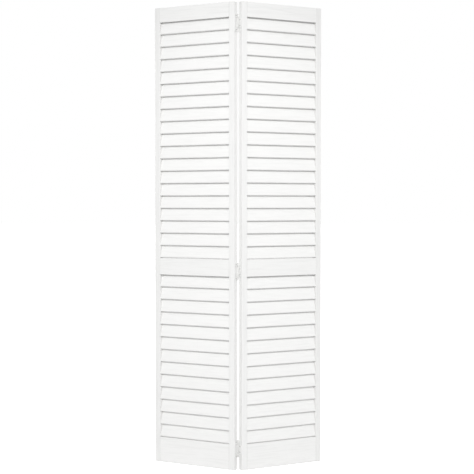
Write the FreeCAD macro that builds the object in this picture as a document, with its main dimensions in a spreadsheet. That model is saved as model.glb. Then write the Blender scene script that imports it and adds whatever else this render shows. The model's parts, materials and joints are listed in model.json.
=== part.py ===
"""A white bi-fold louvred closet door: two leaves of stiles, rails and fixed louvres on three hinges.

Millimetres and degrees. +Z is up, and the origin is on the floor at the middle of the door's
bounding box. The fold points to -Y. Each piece is drawn in its leaf's own directions, with X along
the leaf, -Y to its front face and Z up, and is then turned with its leaf about the hinge pins. Its
place is given by three distances: along the leaf from the pins, depth from the pins to the front,
and height above the floor.
"""
import FreeCAD, Part
import math
import os
import re
import Sketcher

Vector = FreeCAD.Vector
Constraint = Sketcher.Constraint

# The driving dimensions, each with what it is.
SIZES = (
    ("leaf_height", 2006.6, "height of a leaf, for an opening of 80 inches"),
    ("leaf_width", 400.05, "width of one leaf, two of which fill an opening of 32 inches"),
    ("leaf_thickness", 28.575, "thickness of stiles and rails"),
    ("fold_half_angle", 28.5, "how far each leaf is folded back from flat, as shown"),
    ("leaf_gap", 2.4, "gap between the leaves' meeting edges when the door is flat"),
    ("pin_setback", 3.5, "hinge pins' axis behind the leaves' back faces"),
    ("stile_width", 26.0, "face width of a stile"),
    ("edge_ease", 1.2, "bevel that eases a stile's long edges and leaves a fine groove at each rail"),
    ("top_rail_height", 63.5, "face height of the top rail"),
    ("mid_rail_height", 73.0, "face height of the mid rail"),
    ("mid_rail_base", 831.9, "mid rail's lower edge above the floor"),
    ("bottom_rail_height", 111.1, "face height of the bottom rail"),
    ("rail_lip", 9.5, "wood left in front of the groove that hides the top louvre's edge"),
    ("groove_headroom", 3.0, "space above the top louvre in that groove"),
    ("louvre_width", 63.5, "louvre across its slope"),
    ("louvre_thickness", 9.5, "louvre's thickness"),
    ("louvre_bevel", 2.8, "bevel of a louvre's long edges, drawn in place of their rounding"),
    ("louvre_tilt", 16.0, "louvre's lean from upright, its lower edge to the front"),
    ("upper_count", 19, "louvres above the mid rail"),
    ("lower_count", 13, "louvres below the mid rail"),
    ("louvre_rise", 1.6, "lowest louvre's lower edge above the rail under it"),
    ("louvre_seat", 6.5, "length of a louvre held in each stile"),
    ("mortise_side_gap", 0.15, "gap round a louvre in its mortise"),
    ("mortise_end_gap", 0.5, "gap past a louvre's end in its mortise"),
    ("dowel_diameter", 8.0, "dowel between rail and stile"),
    ("dowel_length", 40.0, "dowel's length"),
    ("dowel_in_stile", 17.0, "length of a dowel held in the stile"),
    ("dowel_side_gap", 0.05, "gap round a dowel in its hole"),
    ("dowel_end_gap", 1.0, "gap past a dowel's end in its hole"),
    ("top_dowel_first", 17.0, "lower dowel above the top rail's lower edge"),
    ("top_dowel_pitch", 15.0, "between the top rail's two dowels"),
    ("mid_dowel_first", 20.0, "lower dowel above the mid rail's lower edge"),
    ("mid_dowel_pitch", 41.0, "between the mid rail's two dowels"),
    ("bottom_dowel_first", 38.0, "lower dowel above the bottom rail's lower edge"),
    ("bottom_dowel_pitch", 50.9, "between the bottom rail's two dowels"),
    ("bore_diameter", 9.525, "hole for a pivot or guide pin in an outer stile's end"),
    ("bore_depth", 25.4, "depth of that hole"),
    ("bore_inset", 13.0, "that hole's axis from the leaf's outer edge"),
    ("hinge_end_offset", 88.9, "middle of the top or bottom hinge from the leaf's end"),
    ("mid_hinge_rise", 21.1, "middle of the centre hinge above the mid rail's lower edge"),
    ("hinge_height", 76.2, "height of a hinge"),
    ("plate_thickness", 2.0, "hinge plate"),
    ("plate_margin", 2.0, "hinge plate's edge from the leaf's front face"),
    ("plate_corner", 2.5, "rounding of a hinge plate's corners"),
    ("nested_height", 42.8, "height of the plate that nests in the other one's window"),
    ("nested_reach", 21.0, "how far that plate covers the edge from the back face"),
    ("window_gap", 0.6, "gap round the nested plate"),
    ("knuckle_diameter", 6.4, "outside of a knuckle"),
    ("pin_diameter", 3.2, "hinge pin"),
    ("pin_side_gap", 0.05, "running gap round the pin"),
    ("window_screw_offset", 30.7, "windowed plate's screws above and below the hinge's middle"),
    ("nested_screw_offset", 12.2, "nested plate's screws above and below the hinge's middle"),
    ("screw_head_diameter", 6.6, "countersunk head"),
    ("screw_head_height", 1.8, "depth of the countersunk head"),
    ("screw_head_rim", 0.2, "straight rim of the head, above its taper"),
    ("screw_shank_diameter", 3.5, "screw's shank"),
    ("screw_length", 19.0, "screw with its head"),
    ("screw_side_gap", 0.05, "gap round a screw in its hole"),
    ("screw_end_gap", 1.0, "gap past a screw's end in its hole"),
)

# Small round pieces and holes are drawn as bars with this many sides, each lying on a flat.
BAR_SIDES = 8
BAR_TURN = 180 / BAR_SIDES

# The sizes that follow from those, in the order they are needed.
DERIVED = (
    ("inner_edge", "leaf_gap / 2", "pins to the leaf's inner edge, along the leaf"),
    ("outer_edge", "inner_edge + leaf_width", "pins to the leaf's outer edge"),
    ("opening_width", "leaf_width - 2 * stile_width", "between the stiles"),
    ("opening_middle", "inner_edge + leaf_width / 2", "pins to the middle of the leaf"),
    ("mid_depth", "pin_setback + leaf_thickness / 2", "pins to the leaf's middle plane"),
    ("pin_forward", "(outer_edge + inner_edge) * sin(fold_half_angle) / 2"
                    " - mid_depth * cos(fold_half_angle)", "pins in front of the origin"),
    ("top_rail_base", "leaf_height - top_rail_height", "top rail's lower edge"),
    ("mid_rail_top", "mid_rail_base + mid_rail_height", "mid rail's upper edge"),
    ("upper_pitch", "(top_rail_base - mid_rail_top) / upper_count", "between upper louvres"),
    ("lower_pitch", "(mid_rail_base - bottom_rail_height) / lower_count", "between lower louvres"),
    ("louvre_stand", "louvre_width * cos(louvre_tilt)"
                     " + (louvre_thickness - 2 * louvre_bevel) * sin(louvre_tilt)", "louvre's upright height"),
    ("upper_first", "mid_rail_top + louvre_rise + louvre_stand / 2", "middle of the lowest upper louvre"),
    ("lower_first", "bottom_rail_height + louvre_rise + louvre_stand / 2", "of the lowest lower one"),
    ("top_groove", "louvre_rise + louvre_stand - upper_pitch + groove_headroom", "top rail's groove"),
    ("mid_groove", "louvre_rise + louvre_stand - lower_pitch + groove_headroom", "mid rail's groove"),
    ("window_half", "nested_height / 2 + window_gap", "half the height of the window"),
    ("plate_start", "(knuckle_diameter + pin_diameter) / 4", "plate's root in the knuckle's wall"),
    ("window_end", "pin_setback + nested_reach + window_gap", "pins to the window's far edge"),
    ("plate_end", "pin_setback + leaf_thickness - plate_margin", "pins to the windowed plate's far edge"),
    ("plate_face", "inner_edge - plate_thickness", "pins to a plate's open face, along the leaf"),
    ("head_flare", "(screw_head_diameter - screw_shank_diameter) / 2 * cos(%g)" % BAR_TURN,
     "how far the flats of a screw's head stand out from its shank"),
    ("seat_flare", "head_flare * screw_head_height / (screw_head_height - screw_head_rim)",
     "the same for the seat under it"),
)

NAMES = {entry[0] for entry in SIZES + DERIVED}

# A leaf's side: the right leaf runs from the pins to +X, and the left leaf to -X.
LEFT, RIGHT = -1, 1

# Edges closer than this to a depth count as lying at it.
NEAR = 0.1


def bound(formula):
    """The formula with each size's name turned into its cell in the sheet."""
    return re.sub(r"[a-z_]+", lambda word: "Sizes." + word[0] if word[0] in NAMES else word[0], formula)


def size(name):
    """The present value of a size."""
    return float(SHEET.get(name))


def make_sheet(doc):
    """Write the driving and the following sizes to the sheet that the solids are bound to."""
    sheet = doc.addObject("Spreadsheet::Sheet", "Sizes")
    rows = [(alias, str(value), note) for alias, value, note in SIZES]
    rows += [(alias, "=" + formula, note) for alias, formula, note in DERIVED]
    for row, (alias, text, note) in enumerate(rows, start=1):
        sheet.set("A%d" % row, text)
        sheet.setAlias("A%d" % row, alias)
        sheet.set("B%d" % row, note)
    doc.recompute()
    return sheet


def origin_feature(body, role):
    """One of the body's own origin planes or axes."""
    return next(item for item in body.Origin.OriginFeatures if item.Role == role)


def new_body(name, side, along, depth, height):
    """An empty body, turned with its leaf and set at its place in it."""
    body = DOC.addObject("PartDesign::Body", name)
    body.Label = name
    turned = "((%s) * cos(fold_half_angle) + (%s) * sin(fold_half_angle))" % (along, depth)
    back = "((%s) * sin(fold_half_angle) - (%s) * cos(fold_half_angle))" % (along, depth)
    body.setExpression("Placement.Base.x", bound("%d * %s" % (side, turned)))
    body.setExpression("Placement.Base.y", bound("%s - pin_forward" % back))
    body.setExpression("Placement.Base.z", bound(height))
    body.setExpression("Placement.Rotation.Angle", bound("%d * fold_half_angle" % side))
    BODIES.append(body)
    return body


def new_sketch(body, name, plane, offset="0"):
    """A sketch on one of the body's origin planes, moved off it by the offset along its normal."""
    sketch = body.newObject("Sketcher::SketchObject", name)
    sketch.AttachmentSupport = (origin_feature(body, plane), [""])
    sketch.MapMode = "FlatFace"
    sketch.setExpression("AttachmentOffset.Base.z", bound(offset))
    return sketch


def fix_point(sketch, element, point, across, up):
    """Hold a point of a sketch at two bound distances from the sketch's origin."""
    for kind, formula, axis in (("DistanceX", across, -2), ("DistanceY", up, -1)):
        if formula == "0":
            sketch.addConstraint(Constraint("PointOnObject", element, point, axis))
        else:
            index = sketch.addConstraint(Constraint(kind, -1, 1, element, point, 1.0))
            sketch.setExpression("Constraints[%d]" % index, bound(formula))


def draw_polygon(sketch, corners):
    """Draw a closed outline whose corners are pairs of formulas."""
    first, count = sketch.GeometryCount, len(corners)
    circle = Part.Circle(Vector(), Vector(0, 0, 1), 1)
    start = [circle.value(2 * math.pi * step / count) for step in range(count)]
    for step in range(count):
        sketch.addGeometry(Part.LineSegment(start[step], start[(step + 1) % count]), False)
    for step, (across, up) in enumerate(corners):
        before = first + (step - 1) % count
        sketch.addConstraint(Constraint("Coincident", before, 2, first + step, 1))
        fix_point(sketch, first + step, 1, across, up)


def draw_circles(sketch, centres, radius):
    """Draw equal circles at pairs of formulas."""
    for across, up in centres:
        circle = sketch.addGeometry(Part.Circle(Vector(), Vector(0, 0, 1), 1.0), False)
        index = sketch.addConstraint(Constraint("Radius", circle, 1.0))
        sketch.setExpression("Constraints[%d]" % index, bound(radius))
        fix_point(sketch, circle, 3, across, up)


def draw_louvre(sketch, height, gap):
    """Draw a louvre's section, leaning back, grown by a gap all round, its middle at a height."""
    face, edge = "(louvre_thickness / 2 + %s)" % gap, "(louvre_width / 2 + %s)" % gap
    face_end, edge_end = "(%s - louvre_bevel)" % edge, "(%s - louvre_bevel)" % face
    quarter = [(face, face_end), (edge_end, edge)]
    upper = quarter + [("-" + across, up) for across, up in reversed(quarter)]
    lower = [(across, "-" + up) for across, up in reversed(upper)]
    draw_polygon(sketch, upper + lower)
    sketch.setExpression("AttachmentOffset.Rotation.Angle", bound("-1 * louvre_tilt"))
    sketch.setExpression("AttachmentOffset.Base.y", bound(height))


def pad(body, name, sketch, length, against_normal=False):
    """Raise a sketch into a solid along its normal or against it."""
    feature = body.newObject("PartDesign::Pad", name)
    feature.Profile = sketch
    feature.Reversed = against_normal
    feature.setExpression("Length", bound(length))
    return feature


def pocket(body, name, sketch, depth, along_normal=False):
    """Cut a sketch into the solid, against its normal or along it."""
    feature = body.newObject("PartDesign::Pocket", name)
    feature.Profile = sketch
    feature.Reversed = along_normal
    feature.setExpression("Length", bound(depth))
    return feature


def prism(body, kind, name, plane, place, diameter, length):
    """Add or cut a many-sided bar, for round pieces and holes that are small or hidden.

    The place is the bar's start in the plane's own directions: across, up and along its normal.
    """
    bar = body.newObject("PartDesign::%sPrism" % kind, name)
    bar.AttachmentSupport = (origin_feature(body, plane), [""])
    bar.MapMode = "FlatFace"
    bar.Polygon = BAR_SIDES
    for letter, formula in zip("xyz", place):
        bar.setExpression("AttachmentOffset.Base." + letter, bound(formula))
    bar.setExpression("AttachmentOffset.Rotation.Angle", "%g" % BAR_TURN)
    bar.setExpression("Circumradius", bound("(%s) / 2" % diameter))
    bar.setExpression("Height", bound(length))
    return bar


def repeat_up(body, name, features, count, pitch):
    """Repeat features upwards."""
    row = body.newObject("PartDesign::LinearPattern", name)
    row.Originals = features
    row.Direction = (origin_feature(body, "Z_Axis"), [""])
    row.setExpression("Occurrences", bound(count))
    row.setExpression("Length", bound("(%s - 1) * (%s)" % (count, pitch)))
    body.Tip = row
    return row


def mirror(body, name, feature, plane):
    """Repeat a feature on the other side of one of the body's origin planes."""
    image = body.newObject("PartDesign::Mirrored", name)
    image.Originals = [feature]
    image.MirrorPlane = (origin_feature(body, plane), [""])
    body.Tip = image
    return image


def dress_edges(body, kind, name, base, chosen):
    """A fillet or chamfer on the edges of a feature that the test chooses."""
    DOC.recompute()
    names = ["Edge%d" % number for number, edge in enumerate(base.Shape.Edges, start=1) if chosen(edge)]
    dressing = body.newObject("PartDesign::" + kind, name)
    dressing.Base = (base, names)
    return dressing


def round_edges(body, name, base, radius, chosen):
    """Round the edges of a feature that the test chooses."""
    fillet = dress_edges(body, "Fillet", name, base, chosen)
    fillet.setExpression("Radius", bound(radius))


def bevel_edges(body, name, base, first, second, chosen):
    """Bevel the edges of a feature that the test chooses, by a distance on each of their faces."""
    chamfer = dress_edges(body, "Chamfer", name, base, chosen)
    chamfer.ChamferType = "Two distances"
    chamfer.setExpression("Size", bound(first))
    chamfer.setExpression("Size2", bound(second))


def is_across(edge):
    """Whether an edge lies square to the leaf's length."""
    return abs(edge.Vertexes[0].X - edge.Vertexes[-1].X) < NEAR


def runs_along(edge, direction):
    """Whether an edge is straight and parallel to a direction."""
    if edge.Curve.TypeId != "Part::GeomLine":
        return False
    return abs(edge.tangentAt(edge.FirstParameter).dot(direction)) > 0.999


# For each rail: its height, its lower edge, its groove and where its dowels are.
RAILS = {
    "top": ("top_rail_height", "top_rail_base", "top_groove", "top_dowel_first", "top_dowel_pitch"),
    "mid": ("mid_rail_height", "mid_rail_base", "mid_groove", "mid_dowel_first", "mid_dowel_pitch"),
    "bottom": ("bottom_rail_height", "0", None, "bottom_dowel_first", "bottom_dowel_pitch"),
}

# For each screw of a hinge plate: whether it is above or below the hinge's middle.
SCREW_PLACES = {"upper": 1, "lower": -1}

# For each hinge: the height of its middle.
HINGES = {
    "top": "leaf_height - hinge_end_offset",
    "mid": "mid_rail_base + mid_hinge_rise",
    "bottom": "hinge_end_offset",
}


def make_stile(name, side, is_inner, bore_ends=(), screw_offset=None):
    """A stile with its louvre mortises, dowel holes, pilot holes and pivot bores."""
    along = "inner_edge + stile_width / 2" if is_inner else "outer_edge - stile_width / 2"
    body = new_body(name, side, along, "mid_depth", "0")
    inward = side if is_inner else -side

    section = new_sketch(body, "section", "XY_Plane")
    half_width, half_depth = "stile_width / 2", "leaf_thickness / 2"
    draw_polygon(section, [
        ("-" + half_width, "-" + half_depth),
        (half_width, "-" + half_depth),
        (half_width, half_depth),
        ("-" + half_width, half_depth),
    ])
    post = pad(body, "post", section, "leaf_height")
    bevel_edges(body, "eased_edges", post, "edge_ease", "edge_ease",
                lambda edge: runs_along(edge, Vector(0, 0, 1)))

    face = "%d * stile_width / 2" % inward
    into_wood = inward < 0
    hole_depth = "(dowel_in_stile + dowel_end_gap)"
    start = face if into_wood else "%s - %s" % (face, hole_depth)
    for place, (height, base, groove, first, pitch) in RAILS.items():
        for step in range(2):
            up = "%s + %s + %d * %s" % (base, first, step, pitch)
            prism(body, "Subtractive", "%s_dowel_hole_%d" % (place, step + 1), "YZ_Plane",
                  ("0", up, start), "dowel_diameter + 2 * dowel_side_gap", hole_depth)

    if screw_offset:
        hole_depth = "(screw_length - plate_thickness + screw_end_gap)"
        start = "stile_width / 2 - " + hole_depth if into_wood else "stile_width / -2"
        for place, middle in HINGES.items():
            for end, sign in SCREW_PLACES.items():
                up = "%s + %d * %s" % (middle, sign, screw_offset)
                prism(body, "Subtractive", "%s_hinge_%s_pilot_hole" % (place, end), "YZ_Plane",
                      ("0", up, start), "screw_shank_diameter + 2 * screw_side_gap", hole_depth)

    for end in bore_ends:
        at_top = end == "top"
        circle = new_sketch(body, end + "_bore_circle", "XY_Plane", "leaf_height" if at_top else "0")
        centre = "%d * (stile_width / 2 - bore_inset)" % side
        draw_circles(circle, [(centre, "0")], "bore_diameter / 2")
        pocket(body, end + "_bore", circle, "bore_depth", not at_top)

    for section_name, first, count, pitch in (
        ("upper", "upper_first", "upper_count", "upper_pitch"),
        ("lower", "lower_first", "lower_count", "lower_pitch"),
    ):
        outline = new_sketch(body, section_name + "_mortise_outline", "YZ_Plane", face)
        draw_louvre(outline, first, "mortise_side_gap")
        mortise = pocket(body, section_name + "_mortise", outline,
                         "louvre_seat + mortise_end_gap", into_wood)
        repeat_up(body, section_name + "_mortises", [mortise], count, pitch)
    return body


def make_rail(name, side, place):
    """A rail between the stiles, grooved under its back for the louvre below it, bored for dowels."""
    height, base, groove, first, pitch = RAILS[place]
    body = new_body(name, side, "opening_middle", "mid_depth", "%s + %s / 2" % (base, height))
    half_depth, half_height = "leaf_thickness / 2", height + " / 2"
    corners = [("-" + half_depth, "-" + half_height)]
    if groove:
        lip_back = "rail_lip - " + half_depth
        groove_top = "%s - %s" % (groove, half_height)
        corners += [(lip_back, "-" + half_height), (lip_back, groove_top), (half_depth, groove_top)]
    else:
        corners += [(half_depth, "-" + half_height)]
    corners += [(half_depth, half_height), ("-" + half_depth, half_height)]
    section = new_sketch(body, "section", "YZ_Plane", "opening_width / -2")
    draw_polygon(section, corners)
    pad(body, "board", section, "opening_width")

    hole_depth = "(dowel_length - dowel_in_stile + dowel_end_gap)"
    for step in range(2):
        up = "%s + %d * %s - %s" % (first, step, pitch, half_height)
        hole = prism(body, "Subtractive", "dowel_hole_%d" % (step + 1), "YZ_Plane",
                     ("0", up, "opening_width / 2 - " + hole_depth),
                     "dowel_diameter + 2 * dowel_side_gap", hole_depth)
        mirror(body, "other_dowel_hole_%d" % (step + 1), hole, "YZ_Plane")
    return body


def make_rail_dowels(name, side, place):
    """The four dowels that join one rail to its two stiles."""
    height, base, groove, first, pitch = RAILS[place]
    body = new_body(name, side, "opening_middle", "mid_depth", "%s + %s" % (base, first))
    for step in range(2):
        dowel = prism(body, "Additive", "dowel_%d" % (step + 1), "YZ_Plane",
                      ("0", "%d * %s" % (step, pitch), "opening_width / 2 + dowel_in_stile - dowel_length"),
                      "dowel_diameter", "dowel_length")
        mirror(body, "other_dowel_%d" % (step + 1), dowel, "YZ_Plane")
    return body


def make_louvres(name, side, first, count, pitch):
    """One section's louvres, each a separate board."""
    body = new_body(name, side, "opening_middle", "mid_depth", first)
    outline = new_sketch(body, "outline", "YZ_Plane", "opening_width / -2 - louvre_seat")
    draw_louvre(outline, "0", "0")
    louvre = pad(body, "louvre", outline, "opening_width + 2 * louvre_seat")
    repeat_up(body, "louvres", [louvre], count, pitch)
    return body


def make_screws(name, side, middle, offset):
    """The two countersunk screws of one hinge plate."""
    body = new_body(name, side, "0", "mid_depth", middle)
    head_start = "plate_face" if side == RIGHT else "-(plate_face + screw_head_height)"
    shank_start = "plate_face + screw_head_rim" if side == RIGHT else "-(plate_face + screw_length)"
    for place, sign in SCREW_PLACES.items():
        up = "%d * %s" % (sign, offset)
        head = prism(body, "Additive", place + "_head", "YZ_Plane", ("0", up, head_start),
                     "screw_head_diameter", "screw_head_height")
        bevel_edges(body, place + "_head_taper", head, "screw_head_height - screw_head_rim", "head_flare",
                    lambda edge: (is_across(edge) and edge.CenterOfMass.z * sign > 0
                                  and edge.CenterOfMass.x * side > size("plate_face") + NEAR))
        prism(body, "Additive", place + "_shank", "YZ_Plane", ("0", up, shank_start),
              "screw_shank_diameter", "screw_length - screw_head_rim")
    return body


def cut_screw_seats(body, side, offset):
    """The countersunk holes of a hinge plate for its two screws."""
    start = "plate_face" if side == RIGHT else "-inner_edge"
    reach = size("screw_shank_diameter") / 2 + NEAR
    for place, sign in SCREW_PLACES.items():
        hole = prism(body, "Subtractive", place + "_screw_hole", "YZ_Plane",
                     ("-mid_depth", "%d * %s" % (sign, offset), start),
                     "screw_shank_diameter + 2 * screw_side_gap", "plate_thickness")
        middle = Vector(side * size("plate_face"), -size("mid_depth"), sign * size(offset))
        bevel_edges(body, place + "_countersink", hole, "seat_flare", "screw_head_height",
                    lambda edge: is_across(edge) and edge.CenterOfMass.distanceToPoint(middle) < reach)


def plate_blank(body, side, corners, square_to):
    """A flat hinge plate against the leaf's inner edge, its corners past a depth rounded."""
    outline = new_sketch(body, "plate_outline", "YZ_Plane", "%d * plate_face" % side)
    draw_polygon(outline, corners)
    plate = pad(body, "plate", outline, "plate_thickness", side == LEFT)
    round_edges(body, "plate_corners", plate, "plate_corner", lambda edge: (
        runs_along(edge, Vector(1, 0, 0)) and -edge.CenterOfMass.y > size(square_to) + NEAR))


def add_knuckle(body, name, start, length):
    """A length of knuckle with the pin's bore through it."""
    ring = new_sketch(body, name + "_ring", "XY_Plane", start)
    draw_circles(ring, [("0", "0")], "knuckle_diameter / 2")
    draw_circles(ring, [("0", "0")], "pin_diameter / 2 + pin_side_gap")
    return pad(body, name, ring, length)


def make_windowed_plate(name, side, middle):
    """The hinge plate with the window and the two outer knuckles."""
    body = new_body(name, side, "0", "0", middle)
    half = "hinge_height / 2"
    plate_blank(body, side, [
        ("-plate_start", "-" + half),
        ("-plate_start", "-window_half"),
        ("-window_end", "-window_half"),
        ("-window_end", "window_half"),
        ("-plate_start", "window_half"),
        ("-plate_start", half),
        ("-plate_end", half),
        ("-plate_end", "-" + half),
    ], "window_end")
    upper = add_knuckle(body, "upper_knuckle", "window_half", half + " - window_half")
    mirror(body, "lower_knuckle", upper, "XY_Plane")
    cut_screw_seats(body, side, "window_screw_offset")
    return body


def make_nested_plate(name, side, middle):
    """The hinge plate that fits inside the window, with the middle knuckle."""
    body = new_body(name, side, "0", "0", middle)
    half = "nested_height / 2"
    far = "-(pin_setback + nested_reach)"
    plate_blank(body, side, [
        ("-plate_start", "-" + half),
        ("-plate_start", half),
        (far, half),
        (far, "-" + half),
    ], "plate_start")
    add_knuckle(body, "knuckle", "-" + half, "nested_height")
    cut_screw_seats(body, side, "nested_screw_offset")
    return body


def make_pin(name, middle):
    """A hinge pin, its ends flush with the outer knuckles."""
    body = new_body(name, LEFT, "0", "0", middle)
    circle = new_sketch(body, "circle", "XY_Plane", "hinge_height / -2")
    draw_circles(circle, [("0", "0")], "pin_diameter / 2")
    pad(body, "pin", circle, "hinge_height")
    return body


def make_leaf(prefix, side, bore_ends, screw_offset):
    """One leaf: its stiles, rails, dowels and louvres."""
    make_stile(prefix + "_outer_stile", side, False, bore_ends=bore_ends)
    make_stile(prefix + "_inner_stile", side, True, screw_offset=screw_offset)
    for place in RAILS:
        make_rail("%s_%s_rail" % (prefix, place), side, place)
        make_rail_dowels("%s_%s_rail_dowels" % (prefix, place), side, place)
    make_louvres(prefix + "_upper_louvres", side, "upper_first", "upper_count", "upper_pitch")
    make_louvres(prefix + "_lower_louvres", side, "lower_first", "lower_count", "lower_pitch")


def make_hinge(place, middle):
    """One hinge: both plates, the pin and each plate's screws."""
    make_windowed_plate(place + "_hinge_windowed_plate", LEFT, middle)
    make_nested_plate(place + "_hinge_nested_plate", RIGHT, middle)
    make_pin(place + "_hinge_pin", middle)
    make_screws(place + "_hinge_left_screws", LEFT, middle, "window_screw_offset")
    make_screws(place + "_hinge_right_screws", RIGHT, middle, "nested_screw_offset")


def check_and_write():
    """Stop on a failed feature or solid, then write each piece to its own file."""
    for item in DOC.Objects:
        if {"Invalid", "Error"} & set(item.State):
            raise RuntimeError("%s failed: %s" % (item.Name, item.State))
    for body in BODIES:
        if body.Shape.isNull() or not body.Shape.isValid():
            raise RuntimeError("%s has no valid solid" % body.Label)
    os.makedirs("parts", exist_ok=True)
    for body in BODIES:
        body.Shape.exportStep("parts/%s.step" % body.Label)
        print("%-28s %2d solids %12.1f mm3" % (body.Label, len(body.Shape.Solids), body.Shape.Volume))


DOC = FreeCAD.newDocument("LouvredDoor")
SHEET = make_sheet(DOC)
BODIES = []
make_leaf("left", LEFT, ("top", "bottom"), "window_screw_offset")
make_leaf("right", RIGHT, ("top",), "nested_screw_offset")
for hinge_place, hinge_middle in HINGES.items():
    make_hinge(hinge_place, hinge_middle)
DOC.recompute()
check_and_write()
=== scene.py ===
"""Looks of a white bi-fold louvred closet door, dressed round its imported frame.

The door is two leaves hinged together, standing partly folded. Lengths are in metres unless a name
ends in _mm. Pieces are built flat, in a leaf's own directions, and are then turned with the leaf into
their place. X runs along the leaf and Y to its back, both from the hinge pins' axis, and Z is up.
"""

import json
import logging
import math
from collections.abc import Callable, Sequence
from dataclasses import dataclass
from enum import Enum

import bmesh
import bpy
from mathutils import Matrix, Vector

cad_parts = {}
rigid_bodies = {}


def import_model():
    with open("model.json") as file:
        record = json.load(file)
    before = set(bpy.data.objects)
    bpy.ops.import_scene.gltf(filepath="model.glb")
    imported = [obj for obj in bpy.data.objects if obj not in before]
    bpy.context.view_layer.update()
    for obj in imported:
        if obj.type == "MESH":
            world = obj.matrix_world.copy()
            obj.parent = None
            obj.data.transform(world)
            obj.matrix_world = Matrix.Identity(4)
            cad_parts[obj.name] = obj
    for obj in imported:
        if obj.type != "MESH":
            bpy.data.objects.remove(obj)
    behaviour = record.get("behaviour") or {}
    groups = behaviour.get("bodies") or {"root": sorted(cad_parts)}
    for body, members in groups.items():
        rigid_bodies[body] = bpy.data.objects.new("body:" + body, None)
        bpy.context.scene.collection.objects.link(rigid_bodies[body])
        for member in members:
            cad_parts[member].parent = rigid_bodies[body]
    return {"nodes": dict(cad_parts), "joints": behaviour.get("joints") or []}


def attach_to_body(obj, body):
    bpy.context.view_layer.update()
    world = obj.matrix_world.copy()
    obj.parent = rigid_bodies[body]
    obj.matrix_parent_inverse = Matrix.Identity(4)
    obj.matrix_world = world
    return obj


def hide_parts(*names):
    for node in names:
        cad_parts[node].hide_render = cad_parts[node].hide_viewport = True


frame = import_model()

LOG = logging.getLogger("louvred_door")
MM = 0.001
WELD = 0.002 * MM
HINGES = ("bottom", "mid", "top")

Socket = bpy.types.NodeSocket
Point = tuple[float, float]


class Side(Enum):
    """Which way a leaf runs from the hinge pins, as seen from the front."""

    LEFT = -1
    RIGHT = 1

    @property
    def label(self) -> str:
        """The side's word in the names of pieces."""
        return self.name.lower()


class Grain(Enum):
    """Which way a board's grain runs."""

    UPRIGHT = "upright"
    ALONG_LEAF = "along_leaf"


def linear(colour: str) -> tuple[float, float, float, float]:
    """Turn an sRGB hex colour into the linear values that shaders take.

    Args:
        colour: The colour, such as "#F2F2F0".

    Returns:
        Red, green, blue and an alpha of 1.
    """
    parts = [int(colour[start:start + 2], 16) / 255 for start in (1, 3, 5)]
    red, green, blue = (
        part / 12.92 if part <= 0.04045 else ((part + 0.055) / 1.055) ** 2.4 for part in parts
    )
    return red, green, blue, 1.0


def add_node(
    tree: bpy.types.NodeTree, kind: str, inputs: dict[str | int, object] | None = None, **settings: object
) -> bpy.types.Node:
    """Add a node to a tree, with its settings and links.

    Args:
        tree: The tree that gets the node.
        kind: The node's type.
        inputs: For inputs by name or number, a value, or the socket of another node to link.
        settings: The node's own settings, made before its inputs.

    Returns:
        The new node.
    """
    node = tree.nodes.new(kind)
    for name, value in settings.items():
        setattr(node, name, value)
    for key, value in (inputs or {}).items():
        if isinstance(value, Socket):
            tree.links.new(value, node.inputs[key])
        else:
            node.inputs[key].default_value = value
    return node


def empty_tree(owner: bpy.types.Material | bpy.types.World) -> bpy.types.NodeTree:
    """Turn on the nodes of a material or the world, and clear them.

    Args:
        owner: The material or the world.

    Returns:
        Its tree, with nothing in it.
    """
    owner.use_nodes = True
    owner.node_tree.nodes.clear()
    return owner.node_tree


def shown(tree: bpy.types.NodeTree) -> Socket:
    """Tell the rays that show a backdrop from those that light the door.

    Args:
        tree: The backdrop's tree.

    Returns:
        A socket that is 1 where the camera sees the backdrop, by itself, in a gloss or through glass.
    """
    path = add_node(tree, "ShaderNodeLightPath")
    indirect = add_node(tree, "ShaderNodeMath", {
        0: path.outputs["Is Glossy Ray"],
        1: path.outputs["Is Transmission Ray"],
    }, operation="MAXIMUM")
    seen = add_node(tree, "ShaderNodeMath", {
        0: path.outputs["Is Camera Ray"],
        1: indirect.outputs["Value"],
    }, operation="MAXIMUM")
    return seen.outputs["Value"]


def extent(places: Sequence[Vector]) -> tuple[Vector, Vector]:
    """Find the box round some points.

    Args:
        places: The points.

    Returns:
        The box's lowest and its highest corner.
    """
    low = Vector([min(place[axis] for place in places) for axis in range(3)])
    high = Vector([max(place[axis] for place in places) for axis in range(3)])
    return low, high


@dataclass(frozen=True)
class Leaf:
    """One leaf's place in the door, read from the frame."""

    side: Side
    body: str
    pins: Vector
    fold: float

    @property
    def to_world(self) -> Matrix:
        """The move from the leaf's own directions to the door's."""
        return Matrix.Translation(self.pins) @ Matrix.Rotation(self.side.value * self.fold, 4, "Z")

    def box(self, node: str) -> tuple[Vector, Vector]:
        """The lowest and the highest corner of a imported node, in the leaf's own directions."""
        to_leaf = self.to_world.inverted()
        return extent([to_leaf @ vertex.co for vertex in frame["nodes"][node].data.vertices])

    def centres(self, node: str) -> list[Vector]:
        """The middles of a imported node's separate solids that lie one above the other.

        Args:
            node: The node's name.

        Returns:
            One point for each solid, from the lowest up, in the leaf's own directions.
        """
        to_leaf = self.to_world.inverted()
        shell = bmesh.new()
        shell.from_mesh(frame["nodes"][node].data)
        bmesh.ops.remove_doubles(shell, verts=shell.verts, dist=WELD)
        unseen, middles = set(shell.verts), []
        while unseen:
            found, edge = set(), [unseen.pop()]
            while edge:
                vertex = edge.pop()
                found.add(vertex)
                near = {link.other_vert(vertex) for link in vertex.link_edges} & unseen
                unseen -= near
                edge.extend(near)
            low, high = extent([to_leaf @ vertex.co for vertex in found])
            middles.append((low + high) / 2)
        shell.free()
        return sorted(middles, key=lambda middle: middle.z)


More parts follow.
